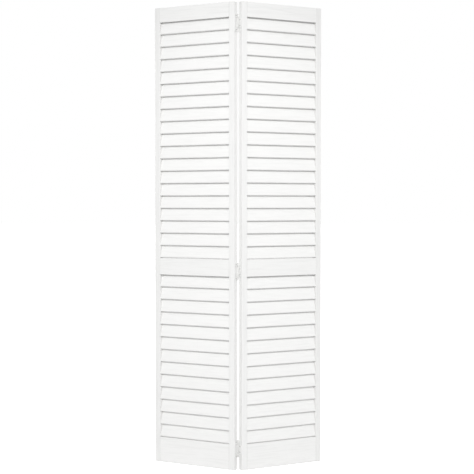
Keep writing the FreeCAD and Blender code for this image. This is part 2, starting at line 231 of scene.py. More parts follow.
def read_leaves() -> dict[Side, Leaf]:
    """Find both leaves' places from the fold joint, whose lower limit is the flat door.

    Returns:
        The leaves by side.
    """
    joint = frame["joints"][0]
    fold = math.radians(-joint["range_deg"][0] / 2)
    pins = Vector(joint["pos_m"])
    bodies = {Side.LEFT: joint["parent"], Side.RIGHT: joint["child"]}
    return {side: Leaf(side, body, pins, fold) for side, body in bodies.items()}


@dataclass(frozen=True)
class PaintedPine:
    """Satin alkyd paint over primed finger-jointed pine: smooth, plain white, soft broad highlights.

    The primer fills the pores, so all that is left of the wood is a faint rise and fall of the
    growth rings along the grain, with the roller's stipple over it. Real stipple is under a
    millimetre wide, too fine to show in the render, so it is drawn coarser, at 2.5 mm. The inside
    corners, where louvres, rails and stiles meet, are greyed with painted shade, which draws a faint
    dark line.
    """

    name: str
    grain: Grain
    turn: float = 0.0
    colour: str = "#F6F6F5"
    colour_low: str = "#F1F1F0"
    low_until: float = 0.3
    full_from: float = 0.55
    dust: str = "#A4A29E"
    dust_cover: float = 0.35
    dust_reach_mm: float = 9.0
    dust_full_at: float = 0.35
    dust_gone_at: float = 0.9
    dust_samples: int = 8
    roughness: float = 0.42
    roughness_spread: float = 0.05
    ring_spacing_mm: float = 7.0
    ring_waviness: float = 0.6
    ring_height_mm: float = 0.03
    stipple_mm: float = 2.5
    stipple_height_mm: float = 0.012
    relief: float = 0.6
    stretch: float = 0.06
    ior: float = 1.48

    def build(self) -> bpy.types.Material:
        """Make the material.

        Returns:
            The new material.
        """
        material = bpy.data.materials.new(self.name)
        tree = empty_tree(material)
        place = add_node(tree, "ShaderNodeTexCoord")
        lengthways = self.stretch if self.grain is Grain.ALONG_LEAF else 1.0
        upwards = self.stretch if self.grain is Grain.UPRIGHT else 1.0
        straight = add_node(tree, "ShaderNodeMapping", {
            "Vector": place.outputs["Object"],
            "Rotation": (0.0, 0.0, -self.turn),
        })
        fibres = add_node(tree, "ShaderNodeMapping", {
            "Vector": straight.outputs["Vector"],
            "Scale": (lengthways, 1.0, upwards),
        })
        rings = add_node(tree, "ShaderNodeTexNoise", {
            "Vector": fibres.outputs["Vector"],
            "Scale": 1 / (self.ring_spacing_mm * MM),
            "Detail": 3.0,
            "Distortion": self.ring_waviness,
        })
        stipple = add_node(tree, "ShaderNodeTexNoise", {
            "Vector": place.outputs["Object"],
            "Scale": 1 / (self.stipple_mm * MM),
            "Detail": 2.0,
        })
        tone = add_node(tree, "ShaderNodeValToRGB", {"Fac": rings.outputs["Fac"]})
        low, high = tone.color_ramp.elements
        low.position, low.color = self.low_until, linear(self.colour_low)
        high.position, high.color = self.full_from, linear(self.colour)
        # Painted shade: the paint is greyed where an ambient-occlusion test finds other surfaces close by,
        # in the inside corners and between the louvres.
        corners = add_node(tree, "ShaderNodeAmbientOcclusion", {
            "Distance": self.dust_reach_mm * MM,
        }, samples=self.dust_samples)
        corner_shade_amount = add_node(tree, "ShaderNodeMapRange", {
            "Value": corners.outputs["AO"],
            "From Min": self.dust_full_at,
            "From Max": self.dust_gone_at,
            "To Min": self.dust_cover,
            "To Max": 0.0,
        })
        shaded_tone = add_node(tree, "ShaderNodeMix", {
            "Factor": corner_shade_amount.outputs["Result"],
            6: tone.outputs["Color"],
            7: linear(self.dust),
        }, data_type="RGBA")
        sheen = add_node(tree, "ShaderNodeMapRange", {
            "Value": rings.outputs["Fac"],
            "To Min": self.roughness - self.roughness_spread,
            "To Max": self.roughness + self.roughness_spread,
        })
        grain_relief = add_node(tree, "ShaderNodeBump", {
            "Height": rings.outputs["Fac"],
            "Strength": self.relief,
            "Distance": self.ring_height_mm * MM,
        })
        relief = add_node(tree, "ShaderNodeBump", {
            "Height": stipple.outputs["Fac"],
            "Normal": grain_relief.outputs["Normal"],
            "Strength": self.relief,
            "Distance": self.stipple_height_mm * MM,
        })
        shader = add_node(tree, "ShaderNodeBsdfPrincipled", {
            "Base Color": shaded_tone.outputs[2],
            "Roughness": sheen.outputs["Result"],
            "Normal": relief.outputs["Normal"],
            "IOR": self.ior,
        })
        add_node(tree, "ShaderNodeOutputMaterial", {"Surface": shader.outputs["BSDF"]})
        return material


@dataclass(frozen=True)
class TurnedBeech:
    """Bare beech dowel rod: pale tan with small darker flecks, dry and matt."""

    name: str = "bare_beech_dowel"
    colour: str = "#CDAE82"
    fleck: str = "#A8835A"
    fleck_mm: float = 2.0
    roughness: float = 0.7

    def build(self) -> bpy.types.Material:
        """Make the material.

        Returns:
            The new material.
        """
        material = bpy.data.materials.new(self.name)
        tree = empty_tree(material)
        place = add_node(tree, "ShaderNodeTexCoord")
        grain = add_node(tree, "ShaderNodeTexNoise", {
            "Vector": place.outputs["Object"],
            "Scale": 1 / (self.fleck_mm * MM),
            "Detail": 4.0,
        })
        tone = add_node(tree, "ShaderNodeValToRGB", {"Fac": grain.outputs["Fac"]})
        dark, pale = tone.color_ramp.elements
        dark.color = linear(self.fleck)
        pale.color = linear(self.colour)
        shader = add_node(tree, "ShaderNodeBsdfPrincipled", {
            "Base Color": tone.outputs["Color"],
            "Roughness": self.roughness,
        })
        add_node(tree, "ShaderNodeOutputMaterial", {"Surface": shader.outputs["BSDF"]})
        return material


@dataclass(frozen=True)
class CoatedMetal:
    """Steel, coated or bare: an even colour and gloss, broken only by a faint orange peel."""

    name: str
    colour: str
    colour_low: str
    metallic: float
    roughness: float
    peel_mm: float
    peel_height_mm: float
    low_until: float = 0.35
    full_from: float = 0.6
    roughness_spread: float = 0.06
    relief: float = 0.5

    def build(self) -> bpy.types.Material:
        """Make the material.

        Returns:
            The new material.
        """
        material = bpy.data.materials.new(self.name)
        tree = empty_tree(material)
        place = add_node(tree, "ShaderNodeTexCoord")
        peel = add_node(tree, "ShaderNodeTexNoise", {
            "Vector": place.outputs["Object"],
            "Scale": 1 / (self.peel_mm * MM),
            "Detail": 2.0,
        })
        tone = add_node(tree, "ShaderNodeValToRGB", {"Fac": peel.outputs["Fac"]})
        low, high = tone.color_ramp.elements
        low.position, low.color = self.low_until, linear(self.colour_low)
        high.position, high.color = self.full_from, linear(self.colour)
        sheen = add_node(tree, "ShaderNodeMapRange", {
            "Value": peel.outputs["Fac"],
            "To Min": self.roughness - self.roughness_spread,
            "To Max": self.roughness + self.roughness_spread,
        })
        relief = add_node(tree, "ShaderNodeBump", {
            "Height": peel.outputs["Fac"],
            "Strength": self.relief,
            "Distance": self.peel_height_mm * MM,
        })
        shader = add_node(tree, "ShaderNodeBsdfPrincipled", {
            "Base Color": tone.outputs["Color"],
            "Metallic": self.metallic,
            "Roughness": sheen.outputs["Result"],
            "Normal": relief.outputs["Normal"],
        })
        add_node(tree, "ShaderNodeOutputMaterial", {"Surface": shader.outputs["BSDF"]})
        return material


def new_object(name: str, mesh: bpy.types.Mesh) -> bpy.types.Object:
    """Put a mesh into the scene as an object at the origin.

    Args:
        name: The object's name.
        mesh: Its mesh.

    Returns:
        The new object.
    """
    thing = bpy.data.objects.new(name, mesh)
    bpy.context.scene.collection.objects.link(thing)
    return thing


def as_object(shell: bmesh.types.BMesh, name: str) -> bpy.types.Object:
    """Point a closed shell's faces outwards and put it into the scene.

    Args:
        shell: The shell, which is used up.
        name: The name of the object and its mesh.

    Returns:
        The new object.
    """
    bmesh.ops.recalc_face_normals(shell, faces=shell.faces)
    mesh = bpy.data.meshes.new(name)
    shell.to_mesh(mesh)
    shell.free()
    return new_object(name, mesh)


def settled(thing: bpy.types.Object, name: str) -> bpy.types.Object:
    """Replace an object and its modifiers by the plain mesh that they give.

    Args:
        thing: The object, which is removed.
        name: The new object's name.

    Returns:
        The new object, with no modifiers.
    """
    bpy.context.view_layer.update()
    evaluated = thing.evaluated_get(bpy.context.evaluated_depsgraph_get())
    mesh = bpy.data.meshes.new_from_object(evaluated)
    bpy.data.objects.remove(thing)
    mesh.name = name
    return new_object(name, mesh)


def close_and_smooth(mesh: bpy.types.Mesh, sharp_above: float) -> None:
    """Merge a mesh's doubles, point its faces outwards and smooth its gentle edges.

    Args:
        mesh: The mesh to finish.
        sharp_above: The angle in degrees over which an edge stays sharp.
    """
    shell = bmesh.new()
    shell.from_mesh(mesh)
    bmesh.ops.remove_doubles(shell, verts=shell.verts, dist=WELD)
    bmesh.ops.recalc_face_normals(shell, faces=shell.faces)
    shell.to_mesh(mesh)
    shell.free()
    mesh.polygons.foreach_set("use_smooth", [True] * len(mesh.polygons))
    mesh.set_sharp_from_angle(angle=math.radians(sharp_above))


def prism(name: str, outline: Sequence[Point], place: Callable[[float, float, float], Vector],
          low: float, high: float) -> bpy.types.Object:
    """Raise a flat outline into a closed bar.

    Args:
        name: The object's name.
        outline: The corners, as pairs of distances.
        place: Turns the two distances and a level into a point.
        low: The level that the bar starts at.
        high: The level that it ends at.

    Returns:
        The bar.
    """
    shell = bmesh.new()
    start, end = (
        [shell.verts.new(place(across, up, level)) for across, up in outline] for level in (low, high)
    )
    shell.faces.new(start)
    shell.faces.new(list(reversed(end)))
    count = len(outline)
    for step in range(count):
        after = (step + 1) % count
        shell.faces.new((start[step], end[step], end[after], start[after]))
    return as_object(shell, name)


def lathe(name: str, outline: Sequence[Point], sides: int) -> bpy.types.Object:
    """Turn a profile about the X axis into a closed round piece.

    Args:
        name: The object's name.
        outline: Pairs of a distance along X and a radius, starting and ending on the axis.
        sides: The number of steps round the axis.

    Returns:
        The turned piece.
    """
    shell = bmesh.new()
    round_axis = [2 * math.pi * step / sides for step in range(sides)]
    rings = []
    for along, radius in outline:
        turns = round_axis if radius else [0.0]
        rings.append([
            shell.verts.new((along, radius * math.cos(turn), radius * math.sin(turn))) for turn in turns
        ])
    for near, far in zip(rings, rings[1:]):
        for step in range(sides):
            after = (step + 1) % sides
            corners = [
                near[step % len(near)], near[after % len(near)],
                far[after % len(far)], far[step % len(far)],
            ]
            shell.faces.new(list(dict.fromkeys(corners)))
    return as_object(shell, name)


def arc(centre: Point, radius: float, start: float, end: float, steps: int) -> list[Point]:
    """Points along an arc.

    Args:
        centre: The arc's centre.
        radius: Its radius.
        start: The angle that it starts at, in radians.
        end: The angle that it ends at.
        steps: The number of steps between them.

    Returns:
        The points, both ends among them.
    """
    turns = [start + (end - start) * step / steps for step in range(steps + 1)]
    return [(centre[0] + radius * math.cos(turn), centre[1] + radius * math.sin(turn)) for turn in turns]


def rounded(corners: Sequence[Point], radii: Sequence[float], steps: int = 6) -> list[Point]:
    """Round the square corners of an outline.

    Args:
        corners: The outline's corners in order.
        radii: Each corner's radius, or 0 to leave it sharp.
        steps: The number of steps in each rounding.

    Returns:
        The outline's points.
    """
    points: list[Point] = []
    for number, (corner, radius) in enumerate(zip(corners, radii)):
        if radius == 0:
            points.append(corner)
            continue
        here = Vector(corner)
        before = (Vector(corners[number - 1]) - here).normalized()
        after = (Vector(corners[(number + 1) % len(corners)]) - here).normalized()
        centre = here + (before + after) * radius
        for step in range(steps + 1):
            turn = math.pi / 2 * step / steps
            spot = centre - after * radius * math.cos(turn) - before * radius * math.sin(turn)
            points.append((spot.x, spot.y))
    return points


def carve(thing: bpy.types.Object, tool: bpy.types.Object, operation: str) -> bpy.types.Object:
    """Cut or trim a piece with a tool, which is used up.

    Args:
        thing: The piece.
        tool: The tool, a closed mesh.
        operation: DIFFERENCE or INTERSECT.

    Returns:
        The piece after the cut.
    """
    cut = thing.modifiers.new("cut", "BOOLEAN")
    cut.operation = operation
    cut.object = tool
    cut.solver = "EXACT"
    carved = settled(thing, thing.name)
    bpy.data.objects.remove(tool)
    return carved


def set_inputs(modifier: bpy.types.Modifier, values: dict[str, object]) -> None:
    """Set a Geometry Nodes modifier's inputs.

    Args:
        modifier: The modifier, with its tree.
        values: The values by the inputs' names.
    """
    for item in modifier.node_group.interface.items_tree:
        if item.item_type == "SOCKET" and item.in_out == "INPUT" and item.name in values:
            modifier[item.identifier] = values[item.name]


def new_tree(name: str, sockets: dict[str, str]) -> tuple[bpy.types.NodeTree, bpy.types.Node]:
    """Start a Geometry Nodes tree.

    Args:
        name: The tree's name.
        sockets: The kinds of its inputs by name.

    Returns:
        The tree and its input node.
    """
    tree = bpy.data.node_groups.new(name, "GeometryNodeTree")
    tree.interface.new_socket("Geometry", in_out="INPUT", socket_type="NodeSocketGeometry")
    for label, kind in sockets.items():
        tree.interface.new_socket(label, in_out="INPUT", socket_type="NodeSocket" + kind)
    tree.interface.new_socket("Geometry", in_out="OUTPUT", socket_type="NodeSocketGeometry")
    return tree, add_node(tree, "NodeGroupInput")


def finish_tree(tree: bpy.types.NodeTree, instances: Socket, material: Socket) -> None:
    """End a tree by making its instances real and giving them their material.

    Args:
        tree: The tree.
        instances: The socket that holds the instances.
        material: The socket that holds the material.
    """
    real = add_node(tree, "GeometryNodeRealizeInstances", {"Geometry": instances})
    dressed = add_node(tree, "GeometryNodeSetMaterial", {
        "Geometry": real.outputs["Geometry"],
        "Material": material,
    })
    add_node(tree, "NodeGroupOutput", {"Geometry": dressed.outputs["Geometry"]})


def either_way(tree: bpy.types.NodeTree, most: Socket, seed: Socket) -> Socket:
    """Draw a random vector for each copy, between a most and its opposite.

    Args:
        tree: The tree.
        most: The socket that holds the most.
        seed: The socket that holds the seed.

    Returns:
        The socket that holds the draw.
    """
    opposite = add_node(tree, "ShaderNodeVectorMath", {
        0: most,
        1: (-1.0, -1.0, -1.0),
    }, operation="MULTIPLY")
    draw = add_node(tree, "FunctionNodeRandomValue", {
        0: opposite.outputs["Vector"],
        1: most,
        "Seed": seed,
    }, data_type="FLOAT_VECTOR")
    return draw.outputs["Value"]


def louvre_tree() -> bpy.types.NodeTree:
    """Make the tree that draws one louvre's rounded section, gives it its length and stacks copies.

    Returns:
        The tree.
    """
    tree, given = new_tree("louvre_bank", {
        "Count": "Int", "Pitch": "Float", "Lowest": "Vector", "Length": "Float", "Width": "Float",
        "Thickness": "Float", "Edge Radius": "Float", "Edge Steps": "Int", "Tilt": "Vector",
        "Play": "Vector", "Lean": "Vector", "Seed": "Int", "Material": "Material",
    })
    put = given.outputs
    section = add_node(tree, "GeometryNodeCurvePrimitiveQuadrilateral", {
        "Width": put["Width"],
        "Height": put["Thickness"],
    })
    eased = add_node(tree, "GeometryNodeFilletCurve", {
        "Curve": section.outputs["Curve"],
        "Count": put["Edge Steps"],
        "Radius": put["Edge Radius"],
    }, mode="POLY")
    leant = add_node(tree, "GeometryNodeTransform", {
        "Geometry": eased.outputs["Curve"],
        "Rotation": put["Tilt"],
    })
    far_end = add_node(tree, "ShaderNodeCombineXYZ", {"Z": put["Length"]})
    run = add_node(tree, "GeometryNodeCurvePrimitiveLine", {"End": far_end.outputs["Vector"]})
    board = add_node(tree, "GeometryNodeCurveToMesh", {
        "Curve": run.outputs["Curve"],
        "Profile Curve": leant.outputs["Geometry"],
        "Fill Caps": True,
    })
    laid = add_node(tree, "GeometryNodeTransform", {
        "Geometry": board.outputs["Mesh"],
        "Rotation": (0.0, math.pi / 2, 0.0),
    })
    rise = add_node(tree, "ShaderNodeCombineXYZ", {"Z": put["Pitch"]})
    stack = add_node(tree, "GeometryNodeMeshLine", {
        "Count": put["Count"],
        "Start Location": put["Lowest"],
        "Offset": rise.outputs["Vector"],
    }, mode="OFFSET")
    seated = add_node(tree, "GeometryNodeSetPosition", {
        "Geometry": stack.outputs["Mesh"],
        "Offset": either_way(tree, put["Play"], put["Seed"]),
    })
    copies = add_node(tree, "GeometryNodeInstanceOnPoints", {
        "Points": seated.outputs["Geometry"],
        "Instance": laid.outputs["Geometry"],
        "Rotation": either_way(tree, put["Lean"], put["Seed"]),
    })
    finish_tree(tree, copies.outputs["Instances"], put["Material"])
    return tree


def hardware_tree() -> bpy.types.NodeTree:
    """Make the tree that sets copies of one turned piece on points, each spun about its own axis.

    Returns:
        The tree.
    """
    tree, given = new_tree("hardware_on_points", {
        "Pattern": "Object", "Spin": "Vector", "Seed": "Int", "Material": "Material",
    })
    pattern = add_node(tree, "GeometryNodeObjectInfo", {"Object": given.outputs["Pattern"]})
    spin = add_node(tree, "FunctionNodeRandomValue", {
        0: (0.0, 0.0, 0.0),
        1: given.outputs["Spin"],
        "Seed": given.outputs["Seed"],
    }, data_type="FLOAT_VECTOR")
    copies = add_node(tree, "GeometryNodeInstanceOnPoints", {
        "Points": given.outputs["Geometry"],
        "Instance": pattern.outputs["Geometry"],
        "Rotation": spin.outputs["Value"],
    })
    finish_tree(tree, copies.outputs["Instances"], given.outputs["Material"])
    return tree


def attach(piece: bpy.types.Object, leaf: Leaf, nodes: Sequence[str]) -> None:
    """Turn a piece with its leaf, and say what it rides on, stands for and is finished as.

    Args:
        piece: The piece, built in the leaf's own directions.
        leaf: The leaf that carries it.
        nodes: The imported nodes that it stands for.
    """
    piece.data.transform(leaf.to_world)
    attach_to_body(piece, leaf.body)
    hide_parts(*nodes)


@dataclass
class LouvreBank:
    """The fixed louvres of one section of a leaf, with rounded long edges."""

    leaf: Leaf
    section: str
    tree: bpy.types.NodeTree
    finish: bpy.types.Material
    seed: int
    thickness: float = 9.5 * MM
    width: float = 63.5 * MM
    tilt: float = math.radians(16)
    edge_radius: float = 3.2 * MM
    edge_steps: int = 6
    height_play: float = 0.12 * MM
    lean_play: float = math.radians(0.12)
    sharp_above: float = 50.0

    def build(self) -> bpy.types.Object:
        """Build the section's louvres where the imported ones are.

        Returns:
            The bank as one plain mesh.
        """
        node = f"{self.leaf.side.label}_{self.section}_louvres"
        low, high = self.leaf.box(node)
        middles = self.leaf.centres(node)
        carrier = new_object(node + "_carrier", bpy.data.meshes.new(node + "_carrier"))
        bank = carrier.modifiers.new("louvre_bank", "NODES")
        bank.node_group = self.tree
        set_inputs(bank, {
            "Count": len(middles),
            "Pitch": (middles[-1].z - middles[0].z) / (len(middles) - 1),
            "Lowest": Vector((low.x, middles[0].y, middles[0].z)),
            "Length": high.x - low.x,
            "Width": self.width,
            "Thickness": self.thickness,
            "Edge Radius": self.edge_radius,
            "Edge Steps": self.edge_steps,
            "Tilt": (0.0, 0.0, -self.tilt),
            "Play": (0.0, 0.0, self.height_play),
            "Lean": (self.lean_play, 0.0, 0.0),
            "Seed": self.seed,
            "Material": self.finish,
        })
        piece = settled(carrier, f"{self.leaf.side.label}_{self.section}_louvre_bank")
        close_and_smooth(piece.data, self.sharp_above)
        attach(piece, self.leaf, [node])
        return piece


@dataclass
class HingePlate:
    """One hinge plate with its knuckles, curled round the pin from one strip of steel.

    The windowed plate's knuckles are at its two ends. The nested plate fits inside the window, and
    its knuckle stands between those two on the same pin.
    """

    leaf: Leaf
    other_leaf: Leaf
    place: str
    is_windowed: bool
    finish: bpy.types.Material
    half_leaf_gap: float = 1.2 * MM
    plate_thickness: float = 2.0 * MM
    bore_radius: float = 1.65 * MM
    curl_slit: float = 0.25 * MM
    curl_steps: int = 40
    corner_radius: float = 2.5 * MM
    window_corner: float = 1.2 * MM
    window_gap: float = 0.6 * MM
    edge_ease: float = 0.22 * MM
    ease_steps: int = 2
    seat_depth: float = 1.8 * MM
    seat_mouth: float = 3.45 * MM
    seat_throat: float = 1.8 * MM
    seat_steps: int = 40
    sharp_above: float = 40.0

    @property
    def face(self) -> float:
        """The plate's open face, along the leaf from the pin's axis."""
        return self.half_leaf_gap - self.plate_thickness

    def strip_section(self, reach: float, radius: float) -> list[Point]:
        """The section of the strip: a flat plate that curls once round the pin.

        Args:
            reach: How far the plate goes from the pin's axis.
            radius: The knuckle's outer radius.

        Returns:
            Pairs of distances along the leaf and towards its front.
        """
        slit = self.face - self.curl_slit
        outer_start = math.atan2(math.sqrt(radius ** 2 - self.half_leaf_gap ** 2), self.half_leaf_gap)
        outer_end = math.atan2(math.sqrt(radius ** 2 - slit ** 2), slit) - 2 * math.pi
        inner_start = math.atan2(math.sqrt(self.bore_radius ** 2 - slit ** 2), slit) - 2 * math.pi
        inner_end = math.atan2(math.sqrt(self.bore_radius ** 2 - self.face ** 2), self.face)
        outline = [(self.half_leaf_gap, reach)]
        outline += arc((0.0, 0.0), radius, outer_start, outer_end, self.curl_steps)
        outline += arc((0.0, 0.0), self.bore_radius, inner_start, inner_end, self.curl_steps)
        outline.append((self.face, reach))
        return outline

    def trim_outline(self, reach: float, behind: float, bottom: float, top: float) -> list[Point]:
        """The plate's outline seen square on, with the window if it has one.

        Args:
            reach: How far the plate goes from the pin's axis.
            behind: A place behind the knuckles, where the outline passes clear of them.
            bottom: The plate's lower end.
            top: Its upper end.

        Returns:
            Pairs of distances towards the leaf's front and up.
        """
        corners, radii = [(behind, bottom)], [0.0]
        if self.is_windowed:
            nested_low, nested_high = self.other_leaf.box(f"{self.place}_hinge_nested_plate")
            sill, head = nested_low.z - self.window_gap, nested_high.z + self.window_gap
            far_side = self.window_gap - nested_low.y
            corners += [(behind, sill), (far_side, sill), (far_side, head), (behind, head)]
            radii += [0.0, self.window_corner, self.window_corner, 0.0]
        corners += [(behind, top), (reach, top), (reach, bottom)]
        radii += [0.0, self.corner_radius, self.corner_radius]
        return rounded(corners, radii)

    def screw_seat(self, middle: Vector, clear: float) -> bpy.types.Object:
        """Make the tool that cuts one screw's hole and countersink into the plate's open face.

        Args:
            middle: The middle of the screw.
            clear: A distance that passes through the plate.

        Returns:
            The tool.
        """
        side = self.leaf.side.value
        seat = lathe("seat", [
            (-clear / 2, 0), (-clear / 2, self.seat_mouth), (0.0, self.seat_mouth),
            (self.seat_depth, self.seat_throat), (clear, self.seat_throat), (clear, 0),
        ], self.seat_steps)
        placed = Matrix.Translation((side * self.face, middle.y, middle.z))
        seat.data.transform(placed @ Matrix.Diagonal((side, 1, 1, 1)))
        close_and_smooth(seat.data, self.sharp_above)
        return seat

    def build(self) -> bpy.types.Object:
        """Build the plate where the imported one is.

        Returns:
            The plate as one plain mesh.
        """
        kind = "windowed" if self.is_windowed else "nested"
        node = f"{self.place}_hinge_{kind}_plate"
        low, high = self.leaf.box(node)
        side = self.leaf.side.value
        radius = max(-side * low.x, -side * high.x)
        reach, bottom, top, clear = -low.y, low.z, high.z, 2 * radius
        strip = prism(
            f"{self.place}_{kind}_plate", self.strip_section(reach, radius),
            lambda along, depth, level: Vector((side * along, -depth, level)), bottom, top,
        )
        trim = prism(
            "trim", self.trim_outline(reach, -clear, bottom, top),
            lambda depth, up, level: Vector((level, -depth, up)), -clear, clear,
        )
        plate = carve(strip, trim, "INTERSECT")
        for middle in self.leaf.centres(f"{self.place}_hinge_{self.leaf.side.label}_screws"):
            plate = carve(plate, self.screw_seat(middle, clear), "DIFFERENCE")
        ease = plate.modifiers.new("eased_edges", "BEVEL")
        ease.width = self.edge_ease
        ease.segments = self.ease_steps
        ease.limit_method = "ANGLE"
        ease.angle_limit = math.radians(self.sharp_above)
        plate = settled(plate, plate.name)
        close_and_smooth(plate.data, self.sharp_above)
        plate.data.materials.clear()
        plate.data.materials.append(self.finish)
        attach(plate, self.leaf, [node])
        return plate


@dataclass
class Hardware:
    """The screws or the pins of all three hinges that one leaf carries."""

    leaf: Leaf
    tree: bpy.types.NodeTree
    finish: bpy.types.Material
    seed: int = 3
    sharp_above: float = 40.0

    def scatter(self, name: str, points: Sequence[Vector], pattern: bpy.types.Object,
                spin: Vector) -> bpy.types.Object:
        """Set copies of a pattern piece on points.

        Args:
            name: The new piece's name.
            points: Where the copies go.
            pattern: The piece to copy, which is removed.
            spin: The most that a copy is turned about each axis.

        Returns:
            The copies as one plain mesh.
        """
        mesh = bpy.data.meshes.new(name + "_points")
        mesh.from_pydata([tuple(point) for point in points], [], [])
        carrier = new_object(name + "_points", mesh)
        setting = carrier.modifiers.new("hardware_on_points", "NODES")
        setting.node_group = self.tree
        set_inputs(setting, {"Pattern": pattern, "Spin": spin, "Seed": self.seed, "Material": self.finish})
        piece = settled(carrier, name)
        bpy.data.objects.remove(pattern)
        close_and_smooth(piece.data, self.sharp_above)
        return piece


@dataclass
class Screws(Hardware):
    """Countersunk cross-recess screws."""

    head_radius: float = 3.2 * MM
    head_rim: float = 0.2 * MM
    head_height: float = 1.8 * MM
    shank_radius: float = 1.7 * MM
    length: float = 19.0 * MM
    point_length: float = 3.5 * MM
    recess_depth: float = 1.3 * MM
    recess_reach: float = 1.75 * MM
    recess_width: float = 0.75 * MM
    recess_taper: float = 0.35
    round_steps: int = 32
    cut_sharp_above: float = 30.0

    def driver(self) -> bpy.types.Object:
        """Build the tool that cuts the cross recess, which narrows towards its floor.

        Returns:
            The tool.
        """
        arm, half = self.recess_reach, self.recess_width / 2
        cross = [
            (arm, -half), (arm, half), (half, half), (half, arm), (-half, arm), (-half, half),
            (-arm, half), (-arm, -half), (-half, -half), (-half, -arm), (half, -arm), (half, -half),
        ]

        def tapered(across: float, up: float, level: float) -> Vector:
            """A corner of the cross, drawn in where it lies below the head's face."""
            share = 1 - self.recess_taper * (level > 0)
            return Vector((level, across * share, up * share))

        return prism("driver", cross, tapered, -self.recess_depth, self.recess_depth)

    def pattern(self) -> bpy.types.Object:
        """Build one screw, its head's face at X 0 and its point towards +X.

        Returns:
            The screw.
        """
        screw = lathe("screw_pattern", [
            (0.0, 0), (0.0, self.head_radius - self.head_rim), (self.head_rim / 2, self.head_radius),
            (self.head_rim, self.head_radius), (self.head_height, self.shank_radius),
            (self.length - self.point_length, self.shank_radius), (self.length, 0),
        ], self.round_steps)
        return carve(screw, self.driver(), "DIFFERENCE")

    def build(self) -> bpy.types.Object:
        """Build the leaf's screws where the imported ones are.

        Returns:
            The screws as one plain mesh.
        """
        label, side = self.leaf.side.label, self.leaf.side.value
        nodes = [f"{place}_hinge_{label}_screws" for place in HINGES]
        points = []
        for node in nodes:
            low, high = self.leaf.box(node)
            head = low.x if side > 0 else high.x
            points += [Vector((head, middle.y, middle.z)) for middle in self.leaf.centres(node)]
        pattern = self.pattern()
        pattern.data.transform(Matrix.Diagonal((side, 1, 1, 1)))
        close_and_smooth(pattern.data, self.cut_sharp_above)
        piece = self.scatter(f"{label}_hinge_screws", points, pattern, Vector((math.pi, 0.0, 0.0)))
        attach(piece, self.leaf, nodes)
        return piece


@dataclass
class Pins(Hardware):
    """Hinge pins with chamfered ends."""

    chamfer: float = 0.5 * MM
    round_steps: int = 40

    def build(self) -> bpy.types.Object:
        """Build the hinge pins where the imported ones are.

        Returns:
            The pins as one plain mesh.
        """
        nodes = [f"{place}_hinge_pin" for place in HINGES]
        boxes = [self.leaf.box(node) for node in nodes]
        points = [(low + high) / 2 for low, high in boxes]
        low, high = boxes[0]
        radius, half = (high.x - low.x) / 2, (high.z - low.z) / 2
        pattern = lathe("pin_pattern", [
            (-half, 0), (-half, radius - self.chamfer), (self.chamfer - half, radius),
            (half - self.chamfer, radius), (half, radius - self.chamfer), (half, 0),
        ], self.round_steps)
        pattern.data.transform(Matrix.Rotation(math.pi / 2, 4, "Y"))
        piece = self.scatter("hinge_pins", points, pattern, Vector((0.0, 0.0, math.pi)))
        attach(piece, self.leaf, nodes)
        return piece


@dataclass
class Boards:
    """The stiles, rails and dowels of both leaves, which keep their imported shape."""

    leaves: dict[Side, Leaf]

    def build(self) -> list[bpy.types.Object]:
        """Paint the stiles and rails, and leave the dowels bare.

        Returns:
            The boards and dowels, with their finishes on.
        """
        # The outer stiles' colour is a shade greyer than the inner ones', as painted shade on one and the
        # same paint.
        outer_with_painted_shade = PaintedPine(
            "satin_painted_pine_outer_stiles", Grain.UPRIGHT, colour="#F2F2F1", colour_low="#ECECEB",
        )
        # The inner stiles get less painted shade in their corners, which keeps their meeting edges
        # brighter.
        inner = PaintedPine(
            "satin_painted_pine_inner_stiles", Grain.UPRIGHT, colour="#F5F5F4", colour_low="#F0F0EF",
            dust_cover=0.08,
        )
        finishes = {
            "dowels": TurnedBeech().build(), "outer_stile": outer_with_painted_shade.build(), "inner_stile": inner.build(),
        }
        dressed = []
        for side, leaf in self.leaves.items():
            finishes["rail"] = PaintedPine(
                f"satin_painted_pine_{side.label}_rails", Grain.ALONG_LEAF, turn=side.value * leaf.fold,
            ).build()
            for name, node in frame["nodes"].items():
                for kind, finish in finishes.items():
                    if name.startswith(side.label) and name.endswith(kind):
                        node.material_slots[0].material = finish
                        dressed.append(node)
        return dressed


@dataclass(frozen=True)
class Softbox:
    """A square soft light that stands well away from the door and faces it."""

    name: str
    azimuth: float
    elevation: float
    power: float
    size: float = 2.4
    distance: float = 12.0

    def source(self) -> bpy.types.Light:
        """Make the light's source.

        Returns:
            The source, without its power.
        """
        light = bpy.data.lights.new(self.name, "AREA")
        light.size = self.size
        return light

    def hang(self, target: Vector) -> None:
        """Hang the light.

        Args:
            target: The point that it faces. Azimuth 0 is in front of it, and grows to its right.
        """
        level = math.cos(self.elevation)
        towards = Vector((
            level * math.sin(self.azimuth), -level * math.cos(self.azimuth), math.sin(self.elevation),
        ))
        light = self.source()
        light.energy = self.power
        lamp = bpy.data.objects.new(self.name, light)
        lamp.location = target + towards * self.distance
        lamp.rotation_euler = (-towards).to_track_quat("-Z", "Y").to_euler()
        bpy.context.scene.collection.objects.link(lamp)


@dataclass(frozen=True)
class Spot(Softbox):
    """A smaller, nearer light in a grid, whose light fades towards the cone's edge."""

    size: float = 0.3
    distance: float = 7.0
    cone: float = math.radians(28.5)
    fade: float = 0.96

    def source(self) -> bpy.types.Light:
        """Make the light's source.

        Returns:
            The source, without its power.
        """
        light = bpy.data.lights.new(self.name, "SPOT")
        light.shadow_soft_size = self.size
        light.spot_size = self.cone
        light.spot_blend = self.fade
        return light


